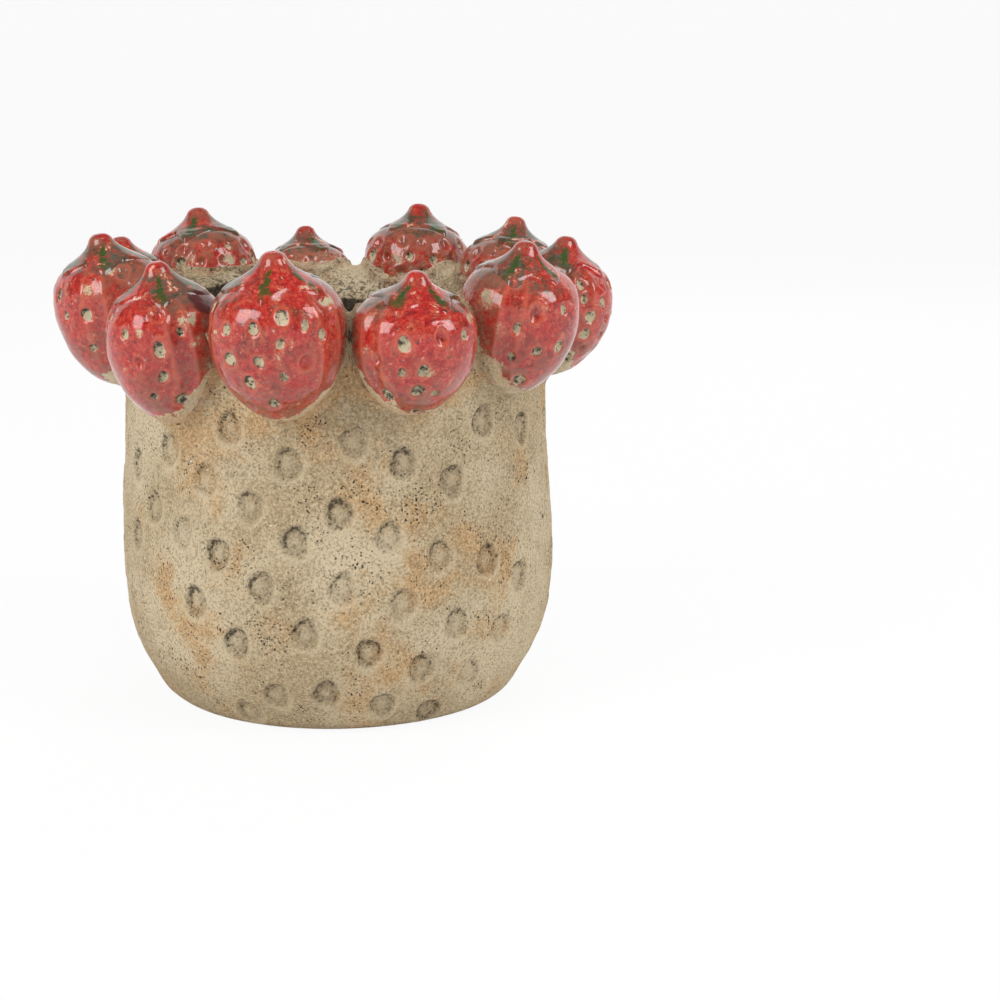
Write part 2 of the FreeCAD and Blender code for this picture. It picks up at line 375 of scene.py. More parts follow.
# rim ring: outline of its section in millimetres, from the wall over the crest to the throat; its slope,
# the grime and painted shade of its inner slope and the painted shade of its throat as pairs of radii or
# heights, from none to full
rim = {
    "outline": [
        (96.0, 164), (96.0, 168), (96.5, 173), (96.2, 178), (94.2, 182.6), (90.5, 184.8), (86, 184.4),
        (78, 180.5), (71.5, 177), (67.8, 174.6), (66.0, 170.5), (66.2, 165), (68, 161.6), (75, 163.5),
        (86, 167), (91, 164.5),
    ],
    "throat": 66 * mm,
    "columns": 400,
    "rows": 200,
    "slope": (88 * mm, 70 * mm),
    "wave": 5.5 * mm,
    "waveTurn": 150,
    "lift": 2.5 * mm,
    "ripple": 1.2 * mm,
    "rippleSize": 22 * mm,
    "sway": 0.03,
    "swaySize": 40 * mm,
    "filletRadius": 4 * mm,
    "skirtRadius": 80 * mm,
    "skirt": (1 * mm, -3 * mm),
    "grimeAndShadeSpan": (92 * mm, 72 * mm),
    "grimeAndShadeShare": 0.6,
    "dark": (173.8 * mm, 172.8 * mm),
    "darkRadius": 72 * mm,
}
rimLine = smoothLine(np.array(rim["outline"] + rim["outline"][:1]) * mm, rim["rows"] + 1)[:-1]


def makeRim(material):
    # a closed section turned about the axis; the inner slope waves, and clay rises against the berries
    normals = lineNormals(rimLine)
    angle = ringAngles(rim["columns"])
    radius, height = rimLine[:, :1], rimLine[:, 1:]
    points = turnedOut(rimLine, angle)
    level = points * (1, 1, 0)
    distance = berryDistance(points)
    rise = clayUneven(points) + fillet(distance, rim["filletRadius"]) * (normals[:, 1:] > -0.5)
    start, full = rim["skirt"]
    skirt = smoothStep(pot["height"] + start, pot["height"] + full, height) * (radius > rim["skirtRadius"])
    rise = rise - skirt * 2 * pot["seamTuck"]
    moved = points + rise[..., None] * turnedOut(normals, angle)
    inner = smoothStep(*rim["slope"], radius)
    wave = rim["wave"] * np.cos(2 * (angle - np.radians(rim["waveTurn"])))
    moved[..., 2] += inner * (rim["lift"] + wave + rim["ripple"] * softNoise(level, rim["rippleSize"], 9))
    moved[..., :2] *= 1 + (inner * rim["sway"] * softNoise(level, rim["swaySize"], 10))[..., None]
    # the inner slope darkened towards the throat: grime and painted shade
    grimeAndShade = smoothStep(*rim["grimeAndShadeSpan"], radius) * rim["grimeAndShadeShare"] + 0 * angle
    # the throat painted dark: painted shade
    inside = smoothStep(*rim["dark"], height) * (radius < rim["darkRadius"]) + 0 * angle
    fields = {"grimeAndShade": grimeAndShade[::-1], "inside": inside[::-1], "near": nearBerry(distance)[::-1]}
    piece = skin("rimRing", moved[::-1], fields)
    dress(piece, "rim_ring", material)


# strawberries: the same places as in the solid model, and the same shares: turn, lift, girth, length.
# In shares of a pit's half width, lip, thin and shade are a middle and a width, pitWall and seed go from none
# to full
berry = {
    "count": 11,
    "radius": 25.5 * mm,
    "length": 66 * mm,
    "topRadius": 105 * mm,
    "topHeight": 209 * mm,
    "lean": 8,
    "startTurn": -10.9,
    "shares": [
        (-0.08, 0.04, 1.11, 1.08), (-0.10, -0.09, 1.03, 0.92), (-0.12, 0.04, 1.03, 1.01),
        (-0.02, -0.02, 0.98, 0.96), (0.12, 0.03, 1.00, 1.00), (0.11, 0.08, 1.04, 1.02),
        (0.07, -0.09, 0.92, 0.92), (0.02, 0.08, 1.04, 1.02), (0.00, -0.06, 0.96, 0.95),
        (0.04, 0.05, 1.00, 1.02), (-0.03, -0.06, 1.02, 1.05),
    ],
    "outline": [
        (0, 0), (0.20, 0.018), (0.43, 0.065), (0.66, 0.155), (0.86, 0.28), (0.97, 0.41), (1.0, 0.52),
        (0.99, 0.61), (0.945, 0.69), (0.86, 0.745), (0.74, 0.787), (0.58, 0.82), (0.42, 0.84),
        (0.22, 0.855), (0, 0.86),
    ],
    "seatDepth": 4 * mm,
    "nearLimit": 20 * mm,
    "columns": 200,
    "rows": 110,
    "lumps": [(0.7 * mm, 24 * mm), (0.245 * mm, 9 * mm)],
    "creaseAngle": 64,
    "creaseWidth": 8,
    "creaseDepth": 0.9 * mm,
    "creaseStart": (0.1, 0.35),
    "creaseEnd": (0.86, 0.70),
    "crest": (11, 3),
    "crestHeight": 0.35 * mm,
    "pitWidth": 5.0 * mm,
    "pitHeight": 6.2 * mm,
    "pitDepth": 1.35 * mm,
    "pitWall": (1.05, 0.35),
    "pitRagged": 0.16,
    "raggedSize": 2.6 * mm,
    "dishDepth": 0.8 * mm,
    "dishWidth": 1.9,
    "lip": (1.25, 0.22),
    "lipShare": 0.2,
    "seed": (0.95, 0.55),
    "thin": (1.05, 0.25),
    "shade": (0.72, 0.3),
    "glazedOutward": 0.8,
    "glazedInward": -0.3,
    "pitSpacing": 11.5 * mm,
    "pitRows": [0.13, 0.24, 0.36, 0.48, 0.60, 0.71],
    "turnScatter": 0.12,
    "riseScatter": 0.03,
    "seenAngle": 85,
    "pitPixels": {
        0: [(252, 329), (282, 317), (306, 325), (280, 345), (307, 363), (258, 363), (284, 379), (249, 384),
            (274, 405), (314, 398), (225, 330), (229, 360), (279, 293), (323, 335), (322, 297), (251, 407)],
        1: [(404, 345), (442, 337), (401, 375), (424, 373), (418, 394), (436, 396), (376, 361), (387, 397),
            (415, 413), (465, 335), (427, 301)],
        2: [(515, 280), (565, 310), (517, 329), (537, 314), (538, 353), (511, 358), (520, 381), (560, 347)],
        9: [(85, 315), (65, 316), (57, 294), (123, 271), (93, 349)],
        10: [(138, 363), (124, 334), (159, 351), (163, 379), (154, 398), (182, 401), (157, 314), (181, 332),
             (110, 314), (160, 291)],
    },
}
berryUnit = smoothLine(berry["outline"], 400)
berryTop = berry["outline"][-1][1]

# patches of worn glaze and of maroon seen in the photograph: pixel and radius in pixels, by strawberry
wornPixels = {
    0: [(279, 295, 8), (215, 335, 9), (330, 300, 8)],
    1: [(366, 352, 10), (425, 301, 9), (470, 320, 8), (430, 374, 7)],
    2: [(487, 300, 14), (500, 330, 9), (540, 275, 9)],
    5: [(396, 258, 10), (440, 262, 12)],
    7: [(190, 262, 12), (230, 258, 10)],
    9: [(90, 290, 11), (110, 270, 8)],
    10: [(186, 318, 14), (160, 291, 8), (196, 345, 12), (139, 333, 6)],
}
maroonPixels = {10: [(204, 301, 18)]}

# the clay that the berries sit on: the wall, then the rim over its crest to the throat
seatTop = rimLine[(rimLine[:, 1] > pot["height"]) & (rimLine[:, 0] > rim["throat"])]
seatLine = np.vstack([wallLine, seatTop])
seatNormals = lineNormals(seatLine)


def seatOn(points, depth):
    # signed distance from the clay by its nearest sample; points deeper than depth come back to it
    radius, height = np.hypot(points[..., 0], points[..., 1]), points[..., 2]
    flat = np.column_stack([radius.reshape(-1), height.reshape(-1)])
    gap = flat[:, None, :] - seatLine[None, :, :]
    nearest = np.argmin((gap ** 2).sum(axis=2), axis=1)
    chosen = gap[np.arange(len(flat)), nearest]
    sign = np.sign((chosen * seatNormals[nearest]).sum(axis=1))
    distance = sign * np.linalg.norm(chosen, axis=1)
    kept = seatLine[nearest] - depth * seatNormals[nearest]
    place = np.where((distance < -depth)[:, None], kept, flat).reshape(*radius.shape, 2)
    drawn = points[..., :2] * (place[..., :1] / radius[..., None])
    return np.concatenate([drawn, place[..., 1:]], axis=-1), distance.reshape(radius.shape)


def berrySize(index):
    girthShare, lengthShare = berry["shares"][index][2:]
    return berry["radius"] * girthShare, berry["length"] * lengthShare


def berryMatrix(index):
    # local z up the berry and local x away from the pot: lean, move to the stem top, turn about the pot
    turnShare, liftShare = berry["shares"][index][:2]
    turn = berry["startTurn"] + 360 / berry["count"] * (index + turnShare) - 90
    top = Vector((berry["topRadius"], 0, berry["topHeight"] + berry["length"] * liftShare))
    lean = Matrix.Rotation(np.radians(berry["lean"]), 4, "Y")
    down = Matrix.Translation((0, 0, -berrySize(index)[1]))
    return np.array(Matrix.Rotation(np.radians(turn), 4, "Z") @ Matrix.Translation(top) @ lean @ down)


def toBerry(index, points):
    matrix = berryMatrix(index)
    return (points - matrix[:3, 3]) @ matrix[:3, :3]


def fromBerry(index, points):
    matrix = berryMatrix(index)
    return points @ matrix[:3, :3].T + matrix[:3, 3]


def unitRadius(share):
    # a berry's half width at a share of its length, as a share of its girth
    return np.interp(share, berryUnit[:, 1], berryUnit[:, 0])


def berryDistance(points):
    # distance to the nearest berry: how far outside its outline at that height, or from its tip
    nearest = np.full(points.shape[:-1], 1.0)
    for index in range(berry["count"]):
        girth, length = berrySize(index)
        local = toBerry(index, points)
        across = np.hypot(local[..., 0], local[..., 1])
        share = np.clip(local[..., 2] / length, 0, berryTop)
        beyond = local[..., 2] - share * length
        past = across - unitRadius(share) * girth
        within = np.where(beyond == 0, np.minimum(past, 0), np.abs(beyond))
        nearest = np.minimum(nearest, np.where(past > 0, np.hypot(np.maximum(past, 0), beyond), within))
    return nearest


def nearBerry(distance):
    # the distance to the berries in millimetres, for the stains beside them
    return np.clip(distance, 0, berry["nearLimit"]) / mm


def fillet(distance, radius):
    # the clay drawn up against the berries: a quarter circle that leaves the wall one radius away
    gap = np.clip(distance, 0, radius)
    return radius - np.sqrt(radius ** 2 - (radius - gap) ** 2)


def clayUneven(points):
    return lumpy(points, pot["lumps"], 1)


def hitBerry(index, pixels):
    # where the pixels' rays meet a berry, as its own angle and height
    directions = pixelRays(pixels) @ berryMatrix(index)[:3, :3]
    return hitTurned(toBerry(index, np.array(view["place"])), directions, berryUnit * berrySize(index))


def pitPlaces(index):
    # seed pits: from the photograph's pixels where they are seen, else staggered rows with some scatter
    girth, length = berrySize(index)
    fullTurn = 2 * np.pi
    angles, heights = [], []
    for row, share in enumerate(berry["pitRows"]):
        count = max(1, round(unitRadius(share) * girth * fullTurn / berry["pitSpacing"]))
        turn = (np.arange(count) + 0.5 * (row % 2) - (count - 1) / 2) * fullTurn / count
        spot = np.column_stack([turn * 3, np.full(count, row + 0.5), np.full(count, index + 0.5)]) * 1.9
        angles.append(turn + berry["turnScatter"] * softNoise(spot, 1.0, 21))
        heights.append(length * (share + berry["riseScatter"] * softNoise(spot, 1.0, 22)))
    angles, heights = np.concatenate(angles), np.concatenate(heights)
    pixels = berry["pitPixels"].get(index)
    if pixels:
        seenAngle, seenHeight = hitBerry(index, pixels)
        eye = toBerry(index, np.array(view["place"]))
        fromEye = np.abs(wrapped(angles - np.arctan2(eye[1], eye[0])))
        hidden = fromEye > np.radians(berry["seenAngle"])
        angles, heights = np.append(seenAngle, angles[hidden]), np.append(seenHeight, heights[hidden])
    return angles, heights


def patchField(index, patches, local):
    # strength of the patches that a berry has: full in the middle of each, none well outside it
    field = np.zeros(local.shape[:2])
    girth, length = berrySize(index)
    chosen = patches.get(index)
    if chosen:
        turn, up = hitBerry(index, [patch[:2] for patch in chosen])
        across = unitRadius(up / length) * girth
        spots = np.column_stack([across * np.cos(turn), across * np.sin(turn), up])
        for spot, patch in zip(spots, chosen):
            reach = patch[2] * view["pixelSize"]
            gap = np.linalg.norm(local - spot, axis=-1)
            field = np.maximum(field, smoothStep(1.3 * reach, 0.4 * reach, gap))
    return field


def makeBerry(index, material):
    # a turned outline from tip to shoulder, with lumps, two creases and seed pits along its normal
    girth, length = berrySize(index)
    line = smoothLine(berryUnit * (girth, length), berry["rows"] + 2)[1:-1]
    angle = ringAngles(berry["columns"], -np.pi)
    radius, height = line[:, :1], line[:, 1:]
    along = runLength(line)[:, None]
    local = turnedOut(line, angle)
    shifted = local + np.array([0.3, 0.7, 0.1]) * (index + 1)
    rise = lumpy(shifted, berry["lumps"], 31)
    share = height / length
    swerve = 0.25 * np.sin(index * 2.1) * (share - 0.5)
    crease = np.degrees(np.abs(angle + swerve)) - berry["creaseAngle"]
    fade = smoothStep(*berry["creaseStart"], share) * smoothStep(*berry["creaseEnd"], share)
    rise -= berry["creaseDepth"] * fade * bell(crease, 0, berry["creaseWidth"])
    crest = fade * bell(np.abs(crease), *berry["crest"])
    rise += berry["crestHeight"] * crest
    pit = np.zeros(local.shape[:2])
    shade = np.zeros(local.shape[:2])
    edge = crest + 0 * pit
    ragged = berry["pitRagged"] * softNoise(shifted, berry["raggedSize"], 33)
    for number, (turn, up) in enumerate(zip(*pitPlaces(index))):
        centre = np.interp(up, line[:, 1], along[:, 0])
        size = 1.05 + 0.3 * np.sin(number * 1.9 + index)
        x = radius * wrapped(angle - turn) / (berry["pitWidth"] / 2 * size)
        y = (along - centre) / (berry["pitHeight"] / 2 * size)
        reach = np.hypot(x, y) * (1 + 0.1 * np.sin(2 * np.arctan2(y, x) + number) + ragged)
        lip = berry["lipShare"] * bell(reach, *berry["lip"])
        rise += berry["pitDepth"] * (lip - smoothStep(*berry["pitWall"], reach))
        rise -= berry["dishDepth"] * bell(np.hypot(x, y), 0, berry["dishWidth"])
        glazed = berry["glazedOutward"] if np.cos(turn) > 0.1 else berry["glazedInward"]
        bare = 0.1 if np.sin(number * 5.1 + index * 2.7) > glazed else 1.0
        pit = np.maximum(pit, bare * smoothStep(*berry["seed"], reach))
        edge = np.maximum(edge, bell(reach, *berry["thin"]))
        hollow = smoothStep(-0.5, 0.7, y - 0.3 * x) * bell(reach, *berry["shade"])
        shade = np.maximum(shade, bare * hollow)
    points = fromBerry(index, local + rise[..., None] * turnedOut(lineNormals(line), angle))
    points, seat = seatOn(points, berry["seatDepth"])
    fields = {
        "pit": pit,
        "pitEdge": edge,
        "pitShade": shade,
        "seat": seat / mm,
        "facing": np.cos(angle) + 0 * height,
        "share": share + 0 * angle,
        "worn": patchField(index, wornPixels, local),
        "maroon": patchField(index, maroonPixels, local),
    }
    ends = fromBerry(index, np.array([(0, 0, 0), (0, 0, berryTop * length)]))
    piece = skin("berry%02d" % (index + 1), points, fields, ends)
    dress(piece, "strawberry_%02d" % (index + 1), material)


# leaf crown: outline of the stub as shares of the berry's radius and length, then the sepals
crown = {
    "stub": [
        (0, 1.0), (0.10, 0.994), (0.172, 0.974), (0.215, 0.945), (0.275, 0.915), (0.365, 0.885),
        (0.47, 0.859), (0.58, 0.832),
    ],
    "shoulder": (0.66, 0.6),
    "shoulderSkip": 6,
    "overlap": 0.03,
    "reach": 0.95,
    "sepals": 5,
    "halfWidth": 0.56,
    "taperFrom": 0.45,
    "taperPower": 1.3,
    "edge": (-0.12, 0.34),
    "skirt": (0.50, 0.70),
    "thickness": 0.9 * mm,
    "veinShare": 0.25,
    "veinWidth": 0.1,
    "sunk": 3.0 * mm,
    "twist": 0.4,
    "sway": 0.16,
    "wobble": 0.8 * mm,
    "wobbleSize": 13 * mm,
    "strokeWidth": 0.22,
    "columns": 150,
    "rows": 70,
    "under": (0.97, 0.05),
    "underRows": 14,
    "underDrop": 2.5 * mm,
}


def makeCrown(index, material):
    # the stub's outline run on over the berry's shoulder, lifted inside each sepal and sunk between them
    girth, length = berrySize(index)
    wide, high = crown["shoulder"]
    shoulder = berryUnit[(berryUnit[:, 1] > high) & (berryUnit[:, 0] > wide)][::-1]
    shoulder = shoulder[shoulder[:, 0] < crown["reach"] + crown["overlap"]]
    shoulder = shoulder[:np.argmax(shoulder[:, 0]) + 1]
    unit = np.vstack([crown["stub"], shoulder[::crown["shoulderSkip"]]])
    top = smoothLine(unit * (girth, length), crown["rows"])[1:]
    angle = ringAngles(crown["columns"], -np.pi)
    radius = top[:, :1] / girth
    step = 2 * np.pi / crown["sepals"]
    off = (angle - crown["twist"] * np.sin(index * 1.7) + step / 2) % step - step / 2
    sway = crown["sway"] * np.sin(3 * angle + index) * radius
    taper = 1 - smoothStep(crown["taperFrom"], crown["reach"], radius) ** crown["taperPower"]
    inside = smoothStep(*crown["edge"], crown["halfWidth"] * step * taper - np.abs(off + sway))
    out = smoothStep(*crown["skirt"], radius)
    lift = crown["thickness"] * (1 - crown["veinShare"] * bell(off, 0, crown["veinWidth"]))
    rise = out * (inside * lift - (1 - inside) * crown["sunk"])
    local = turnedOut(top, angle) - rise[..., None] * turnedOut(lineNormals(top), angle)
    shifted = local + np.array([0.3, 0.7, 0.1]) * (index + 1)
    for axis in range(2):
        local[..., axis] += crown["wobble"] * softNoise(shifted, crown["wobbleSize"], 41 + axis) * (1 - out)
    under = np.linspace(*crown["under"], crown["underRows"])[:, None, None]
    below = local[-1][None] * under ** np.array([1, 1, 0]) - np.array([0, 0, crown["underDrop"]])
    flat = 0 * below[..., 0]

    def closed(values, beneath=flat):
        # the field over the crown, then over its underside, from the bottom up
        return np.concatenate([values + 0 * rise, beneath])[::-1]

    fields = {
        "stroke": closed(bell(off, 0, crown["strokeWidth"]) * inside),
        "spread": closed(radius, flat + 1),
        "share": closed(top[:, 1:] / length),
        "facing": closed(np.cos(angle)),
        "maroon": closed(patchField(index, maroonPixels, local)),
    }
    rings = fromBerry(index, np.concatenate([local, below])[::-1])
    lowest = np.array([0, 0, local[-1, :, 2].mean() - crown["underDrop"]])
    ends = fromBerry(index, np.array([lowest, (0, 0, length)]))
    piece = skin("crown%02d" % (index + 1), rings, fields, ends)
    dress(piece, "leaf_crown_%02d" % (index + 1), material)


class Nodes:
    # builds the nodes of one shader tree; each method gives back what its node puts out
    def __init__(self, tree):
        self.tree = tree
        self.place = self.add("ShaderNodeTexCoord")["Object"]

    def fill(self, node, sockets):
        # numbers and colours are set on a node's sockets, anything else is linked to them
        for name, value in sockets.items():
            socket = node.inputs[name]
            if isinstance(value, (int, float)):
                socket.default_value = value
            elif isinstance(value, tuple):
                socket.default_value = (*value, 1.0) if socket.type == "RGBA" else value
            else:
                self.tree.links.new(value, socket)
        return node.outputs

    def add(self, kind, sockets=None, **settings):
        node = self.tree.nodes.new(kind)
        for name, value in settings.items():
            setattr(node, name, value)
        return self.fill(node, sockets or {})

    def use(self, group, **sockets):
        return self.add("ShaderNodeGroup", sockets, node_tree=group)

    def field(self, name):
        return self.add("ShaderNodeAttribute", attribute_name=name)["Fac"]

    def math(self, operation, first, second):
        return self.add("ShaderNodeMath", {0: first, 1: second}, operation=operation)[0]

    def plus(self, first, second):
        return self.math("ADD", first, second)

    def minus(self, first, second):
        return self.math("SUBTRACT", first, second)

    def times(self, first, second):
        return self.math("MULTIPLY", first, second)

    def most(self, first, second):
        return self.math("MAXIMUM", first, second)

    def mix(self, share, first, second):
        return self.add("ShaderNodeMix", {0: share, 6: first, 7: second}, data_type="RGBA")[2]

    def noise(self, scale, detail, rough):
        sockets = {"Vector": self.place, "Scale": scale, "Detail": detail, "Roughness": rough}
        return self.add("ShaderNodeTexNoise", sockets)["Fac"]

    def ramp(self, value, low, high, first=0.0, last=1.0):
        sockets = {"Value": value, "From Min": low, "From Max": high, "To Min": first, "To Max": last}
        return self.add("ShaderNodeMapRange", sockets, interpolation_type="SMOOTHSTEP")["Result"]

    def bump(self, height, distance, strength):
        sockets = {"Height": height, "Distance": distance, "Strength": strength}
        return self.add("ShaderNodeBump", sockets)["Normal"]

    def layer(self, scale, detail, rough, *ramp):
        return self.ramp(self.noise(scale, detail, rough), *ramp)

    def ragged(self, scale, detail, rough, spread):
        # noise about zero, for uneven edges
        return self.times(self.minus(self.noise(scale, detail, rough), 0.5), spread)

    def paint(self, colour, finish):
        # the finish's coats, each laid over those before it by its own layer of noise
        for tone, *layer in finish["coats"]:
            colour = self.mix(self.layer(*layer), colour, finish[tone])
        return colour

    def specks(self, scale, size, few, gather=0.0):
        # round specks: the middles of some Voronoi cells, each with its own size and shaken by noise
        shaken = self.add("ShaderNodeTexNoise", {"Vector": self.place, "Scale": scale * 2.2})["Color"]
        shift = {0: shaken, 1: (0.5 / scale,) * 3, 2: self.place}
        moved = self.add("ShaderNodeVectorMath", shift, operation="MULTIPLY_ADD")[0]
        cells = self.add("ShaderNodeTexVoronoi", {"Vector": moved, "Scale": scale})
        own = self.add("ShaderNodeSeparateColor", {0: cells["Color"]})[0]
        chosen = self.ramp(self.plus(own, gather), few, few + 0.3)
        near = self.math("DIVIDE", cells["Distance"], self.most(chosen, 0.01))
        return self.ramp(near, size, size * 0.6, 0, 0.9)


def newMaterial(name):
    material = bpy.data.materials.new(name)
    material.use_nodes = True
    tree = material.node_tree
    return material, Nodes(tree), tree.nodes["Principled BSDF"]


def newGroup(name, outputs, inputs=()):
    group = bpy.data.node_groups.new(name, "ShaderNodeTree")
    for socket in inputs:
        group.interface.new_socket(socket, in_out="INPUT", socket_type="NodeSocketFloat")
    for socket, kind in outputs.items():
        group.interface.new_socket(socket, in_out="OUTPUT", socket_type="NodeSocket" + kind)
    return group, Nodes(group)


# sandy clay: linear colours, then noise by scale, detail and roughness, with a ramp over it or its spread;
# coats name their colour first, and specks have a scale, a size in their cell and how few there are
clay = {
    "sand": (0.455, 0.345, 0.205),
    "pale": (0.64, 0.53, 0.355),
    "tan": (0.56, 0.325, 0.135),
    "dull": (0.22, 0.165, 0.095),
    "speck": (0.022, 0.018, 0.014),
    "white": (0.80, 0.75, 0.64),
    # grime is also painted shade: it darkens the dimples, the rim's inner slope and bare clay turned to the
    # pot
    "grimeAndShade": (0.13, 0.11, 0.08),
    "stain": (0.30, 0.135, 0.08),
    # the near black of the inside: painted shade
    "insideShade": (0.020, 0.015, 0.011),
    "coats": [
        ("pale", 20, 4, 0.55, 0.38, 0.64),
        ("tan", 27, 6, 0.66, 0.50, 0.64, 0, 0.85),
        ("dull", 110, 7, 0.72, 0.50, 0.72, 0, 0.5),
        ("dull", 900, 5, 0.85, 0.48, 0.62, 0, 0.9),
        ("pale", 900, 5, 0.85, 0.51, 0.38, 0, 0.85),
    ],
    "grain": (900, 5, 0.85),
    "gather": (52, 4, 0.65, 0.38, 0.72, -0.3, 0.3),
    "specks": [(150, 0.15, 0.78), (260, 0.22, 0.76), (480, 0.32, 0.72), (850, 0.42, 0.66)],
    "speckDepth": 1.2,
    "strewnSpecks": (560, 0.30, 0.74),
    "whiteSpecks": (150, 0.10, 0.72),
}


def clayGroup():
    # blotches, grain and specks of bare clay, as a colour and a height
    group, on = newGroup("bareClay", {"Colour": "Color", "Height": "Float"})
    colour = on.paint(clay["sand"], clay)
    height = on.minus(1.0, on.noise(*clay["grain"]))
    gather = on.layer(*clay["gather"])
    for specks in clay["specks"]:
        mask = on.specks(*specks, gather)
        colour = on.mix(mask, colour, clay["speck"])
        height = on.minus(height, on.times(mask, clay["speckDepth"]))
    colour = on.mix(on.specks(*clay["strewnSpecks"]), colour, clay["speck"])
    colour = on.mix(on.specks(*clay["whiteSpecks"]), colour, clay["white"])
    on.add("NodeGroupOutput", {"Colour": colour, "Height": height})
    return group


# wall and rim: what lies over the bare clay, with painted shade and a painted highlight among it; stain and
# crack go by millimetres from the berries
wallFinish = {
    "rubbedAndLit": 0.55,
    "grimeAndShade": 0.42,
    "grit": (520, 4, 0.7),
    "gritByGrimeAndShade": 0.2,
    "gritRamp": (0.60, 0.70),
    "gritWhere": (0.1, 0.6),
    "gritShare": 0.75,
    "stainEdge": (150, 7, 0.75, 22.0),
    "stain": (3.5, -2.0, 0, 0.4),
    "crackEdge": (420, 4, 0.7),
    "crackSpread": 6.0,
    "crack": (1.6, 0.4, 0, 0.75),
    # how strongly the inside is painted dark, a little uneven: painted shade
    "insideShade": (160, 6, 0.75, 0.42, 0.58, 0.84, 0.96),
    "grainDepth": 0.3 * mm,
    "grainShare": 0.9,
    "rough": 0.92,
    "shine": 0.2,
}


def makeClay(group):
    # bare clay with grime, painted shade and dark grit in the dimples and on the rim's inner slope, a painted
    # highlight on the dimples' lower lips, stains beside the berries and an inside painted dark as painted
    # shade
    material, on, shader = newMaterial("sandyClay")
    bare = on.use(group)
    grimeAndShade = on.field("grimeAndShade")
    grit = on.plus(on.noise(*wallFinish["grit"]), on.times(grimeAndShade, wallFinish["gritByGrimeAndShade"]))
    grit = on.times(on.ramp(grit, *wallFinish["gritRamp"]), on.ramp(grimeAndShade, *wallFinish["gritWhere"]))
    # the rubbed field pales the dimples' bosses, worn, and their lower lips as a painted highlight
    rubbedAndLit = on.times(on.field("rubbedAndLit"), wallFinish["rubbedAndLit"])
    colour = on.mix(rubbedAndLit, bare["Colour"], clay["pale"])
    # the grime field darkens the dimples and the rim's inner slope: grime and painted shade together
    colour = on.mix(on.times(grimeAndShade, wallFinish["grimeAndShade"]), colour, clay["grimeAndShade"])
    colour = on.mix(on.times(grit, wallFinish["gritShare"]), colour, clay["speck"])
    close = on.plus(on.field("near"), on.ragged(*wallFinish["stainEdge"]))
    colour = on.mix(on.ramp(close, *wallFinish["stain"]), colour, clay["stain"])
    crack = on.plus(close, on.times(on.noise(*wallFinish["crackEdge"]), wallFinish["crackSpread"]))
    colour = on.mix(on.ramp(crack, *wallFinish["crack"]), colour, clay["speck"])
    # the inside painted near black: painted shade
    inside = on.times(on.field("inside"), on.layer(*wallFinish["insideShade"]))
    on.fill(shader, {
        "Base Color": on.mix(inside, colour, clay["insideShade"]),
        "Normal": on.bump(bare["Height"], wallFinish["grainDepth"], wallFinish["grainShare"]),
        "Roughness": wallFinish["rough"],
        "Specular IOR Level": wallFinish["shine"],
    })
    return material


# red glaze: written as the clay is
glaze = {
    "red": (0.47, 0.018, 0.015),
    "deep": (0.14, 0.012, 0.012),
    "thin": (0.60, 0.125, 0.068),
    "stain": (0.27, 0.105, 0.065),
    "maroon": (0.085, 0.012, 0.016),
    "pitClay": (0.53, 0.45, 0.295),
    "pitDark": (0.030, 0.024, 0.018),
    "green": (0.028, 0.075, 0.012),
    "smear": (0.092, 0.090, 0.060),
    "moss": (0.036, 0.052, 0.020),
    "pale": (0.68, 0.56, 0.41),
    "coats": [
        ("deep", 70, 8, 0.72, 0.48, 0.66, 0, 0.9),
        ("thin", 140, 8, 0.75, 0.50, 0.68, 0, 0.85),
        ("deep", 380, 7, 0.85, 0.50, 0.60, 0, 0.8),
        ("thin", 380, 7, 0.85, 0.49, 0.38, 0, 0.7),
        ("pale", 330, 9, 0.85, 0.585, 0.63, 0, 0.75),
    ],
    "gather": (60, 4, 0.65, 0.40, 0.70, -0.25, 0.25),
    "holes": [(190, 0.17, 0.74), (420, 0.28, 0.72)],
    "ripple": (300, 4, 0.6),
    "rippleDepth": 0.3 * mm,
    "rippleShare": 0.55,
    "coatRough": 0.05,
    "index": 1.5,
    "maroonEdge": (160, 7, 0.75, 1.2),
    "maroonRamp": (0.3, 0.65, 0, 0.85),
}


def glazeGroup():
    # red that deepens and thins in patches and is finely mottled; the height is the glaze's ripple
    group, on = newGroup("redGlaze", {"Colour": "Color", "Height": "Float"})
    colour = on.paint(glaze["red"], glaze)
    gather = on.layer(*glaze["gather"])
    for hole in glaze["holes"]:
        colour = on.mix(on.specks(*hole, gather), colour, glaze["pitDark"])
    on.add("NodeGroupOutput", {"Colour": colour, "Height": on.noise(*glaze["ripple"])})
    return group


def maroonOver(on, colour):
    maroon = on.plus(on.field("maroon"), on.ragged(*glaze["maroonEdge"]))
    return on.mix(on.ramp(maroon, *glaze["maroonRamp"]), colour, glaze["maroon"])


def finishGlaze(on, shader, colour, height, matt, finish):
    # roughness and coat go from whole glaze to where it is matt
    on.fill(shader, {
        "Base Color": colour,
        "Normal": on.bump(height, glaze["rippleDepth"], glaze["rippleShare"]),
        "Roughness": on.ramp(matt, 0, 1, *finish["rough"]),
        "Coat Weight": on.ramp(matt, 0, 1, *finish["coat"]),
        "Coat Roughness": glaze["coatRough"],
        "IOR": glaze["index"],
    })


